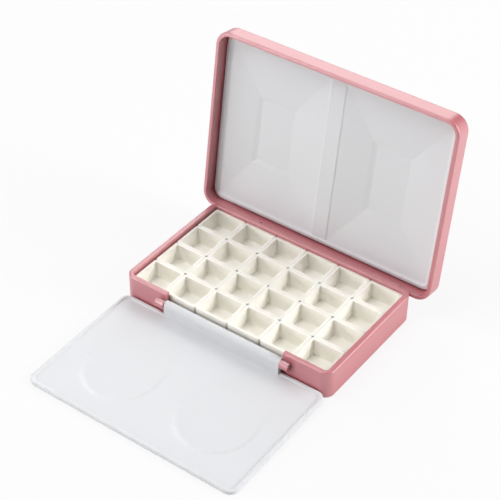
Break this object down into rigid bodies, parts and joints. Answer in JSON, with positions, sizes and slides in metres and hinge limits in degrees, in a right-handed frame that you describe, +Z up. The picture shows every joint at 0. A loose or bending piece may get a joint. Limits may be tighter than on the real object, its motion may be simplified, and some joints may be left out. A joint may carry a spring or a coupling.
{
  "type": "watercolour paint box",
  "caption": "Flat plastic paint box: open case with a grid of lift-out half pans, fold-out mixing tray and hinged lid with a mixing palette.",
  "frame": {"origin": "middle of the case's underside, on the table", "axes": "+X to the right along the case's long side, -Y towards the painter, +Z up"},
  "size_m": [0.138, 0.1706, 0.1104],
  "materials": {
    "case_pink": "fine satin",
    "palette_white": "satin",
    "pan_cream": "satin",
    "pin_steel": "plain"
  },
  "bodies": {
    "case": {"case": "case_pink"},
    "lid": {"lid_shell": "case_pink", "lid_palette": "palette_white", "hinge_pin_left": "pin_steel", "hinge_pin_right": "pin_steel"},
    "tray": {"mixing_tray": "palette_white"},
    "half_pan_1_1": {"half_pan_1_1": "pan_cream"},
    "half_pan_1_2": {"half_pan_1_2": "pan_cream"},
    "half_pan_1_3": {"half_pan_1_3": "pan_cream"},
    "half_pan_1_4": {"half_pan_1_4": "pan_cream"},
    "half_pan_1_5": {"half_pan_1_5": "pan_cream"},
    "half_pan_1_6": {"half_pan_1_6": "pan_cream"},
    "half_pan_2_1": {"half_pan_2_1": "pan_cream"},
    "half_pan_2_2": {"half_pan_2_2": "pan_cream"},
    "half_pan_2_3": {"half_pan_2_3": "pan_cream"},
    "half_pan_2_4": {"half_pan_2_4": "pan_cream"},
    "half_pan_2_5": {"half_pan_2_5": "pan_cream"},
    "half_pan_2_6": {"half_pan_2_6": "pan_cream"},
    "half_pan_3_1": {"half_pan_3_1": "pan_cream"},
    "half_pan_3_2": {"half_pan_3_2": "pan_cream"},
    "half_pan_3_3": {"half_pan_3_3": "pan_cream"},
    "half_pan_3_4": {"half_pan_3_4": "pan_cream"},
    "half_pan_3_5": {"half_pan_3_5": "pan_cream"},
    "half_pan_3_6": {"half_pan_3_6": "pan_cream"},
    "half_pan_4_1": {"half_pan_4_1": "pan_cream"},
    "half_pan_4_2": {"half_pan_4_2": "pan_cream"},
    "half_pan_4_3": {"half_pan_4_3": "pan_cream"},
    "half_pan_4_4": {"half_pan_4_4": "pan_cream"},
    "half_pan_4_5": {"half_pan_4_5": "pan_cream"},
    "half_pan_4_6": {"half_pan_4_6": "pan_cream"}
  },
  "joints": [
    {"name": "lid_hinge", "type": "hinge", "parent": "case", "child": "lid", "pos_m": [0, 0.03765, 0.0139], "axis": [-1, 0, 0], "range_deg": [-98, 0]},
    {"name": "tray_hinge", "type": "hinge", "parent": "case", "child": "tray", "pos_m": [0, -0.0371, 0.0105], "axis": [1, 0, 0], "range_deg": [-181.72, 0]},
    {"name": "half_pan_1_1_lift", "type": "slide", "parent": "case", "child": "half_pan_1_1", "axis": [0, 0, 1], "range_m": [0, 0.014]},
    {"name": "half_pan_1_2_lift", "type": "slide", "parent": "case", "child": "half_pan_1_2", "axis": [0, 0, 1], "range_m": [0, 0.014]},
    {"name": "half_pan_1_3_lift", "type": "slide", "parent": "case", "child": "half_pan_1_3", "axis": [0, 0, 1], "range_m": [0, 0.014]},
    {"name": "half_pan_1_4_lift", "type": "slide", "parent": "case", "child": "half_pan_1_4", "axis": [0, 0, 1], "range_m": [0, 0.014]},
    {"name": "half_pan_1_5_lift", "type": "slide", "parent": "case", "child": "half_pan_1_5", "axis": [0, 0, 1], "range_m": [0, 0.014]},
    {"name": "half_pan_1_6_lift", "type": "slide", "parent": "case", "child": "half_pan_1_6", "axis": [0, 0, 1], "range_m": [0, 0.014]},
    {"name": "half_pan_2_1_lift", "type": "slide", "parent": "case", "child": "half_pan_2_1", "axis": [0, 0, 1], "range_m": [0, 0.014]},
    {"name": "half_pan_2_2_lift", "type": "slide", "parent": "case", "child": "half_pan_2_2", "axis": [0, 0, 1], "range_m": [0, 0.014]},
    {"name": "half_pan_2_3_lift", "type": "slide", "parent": "case", "child": "half_pan_2_3", "axis": [0, 0, 1], "range_m": [0, 0.014]},
    {"name": "half_pan_2_4_lift", "type": "slide", "parent": "case", "child": "half_pan_2_4", "axis": [0, 0, 1], "range_m": [0, 0.014]},
    {"name": "half_pan_2_5_lift", "type": "slide", "parent": "case", "child": "half_pan_2_5", "axis": [0, 0, 1], "range_m": [0, 0.014]},
    {"name": "half_pan_2_6_lift", "type": "slide", "parent": "case", "child": "half_pan_2_6", "axis": [0, 0, 1], "range_m": [0, 0.014]},
    {"name": "half_pan_3_1_lift", "type": "slide", "parent": "case", "child": "half_pan_3_1", "axis": [0, 0, 1], "range_m": [0, 0.014]},
    {"name": "half_pan_3_2_lift", "type": "slide", "parent": "case", "child": "half_pan_3_2", "axis": [0, 0, 1], "range_m": [0, 0.014]},
    {"name": "half_pan_3_3_lift", "type": "slide", "parent": "case", "child": "half_pan_3_3", "axis": [0, 0, 1], "range_m": [0, 0.014]},
    {"name": "half_pan_3_4_lift", "type": "slide", "parent": "case", "child": "half_pan_3_4", "axis": [0, 0, 1], "range_m": [0, 0.014]},
    {"name": "half_pan_3_5_lift", "type": "slide", "parent": "case", "child": "half_pan_3_5", "axis": [0, 0, 1], "range_m": [0, 0.014]},
    {"name": "half_pan_3_6_lift", "type": "slide", "parent": "case", "child": "half_pan_3_6", "axis": [0, 0, 1], "range_m": [0, 0.014]},
    {"name": "half_pan_4_1_lift", "type": "slide", "parent": "case", "child": "half_pan_4_1", "axis": [0, 0, 1], "range_m": [0, 0.014]},
    {"name": "half_pan_4_2_lift", "type": "slide", "parent": "case", "child": "half_pan_4_2", "axis": [0, 0, 1], "range_m": [0, 0.014]},
    {"name": "half_pan_4_3_lift", "type": "slide", "parent": "case", "child": "half_pan_4_3", "axis": [0, 0, 1], "range_m": [0, 0.014]},
    {"name": "half_pan_4_4_lift", "type": "slide", "parent": "case", "child": "half_pan_4_4", "axis": [0, 0, 1], "range_m": [0, 0.014]},
    {"name": "half_pan_4_5_lift", "type": "slide", "parent": "case", "child": "half_pan_4_5", "axis": [0, 0, 1], "range_m": [0, 0.014]},
    {"name": "half_pan_4_6_lift", "type": "slide", "parent": "case", "child": "half_pan_4_6", "axis": [0, 0, 1], "range_m": [0, 0.014]}
  ]
}
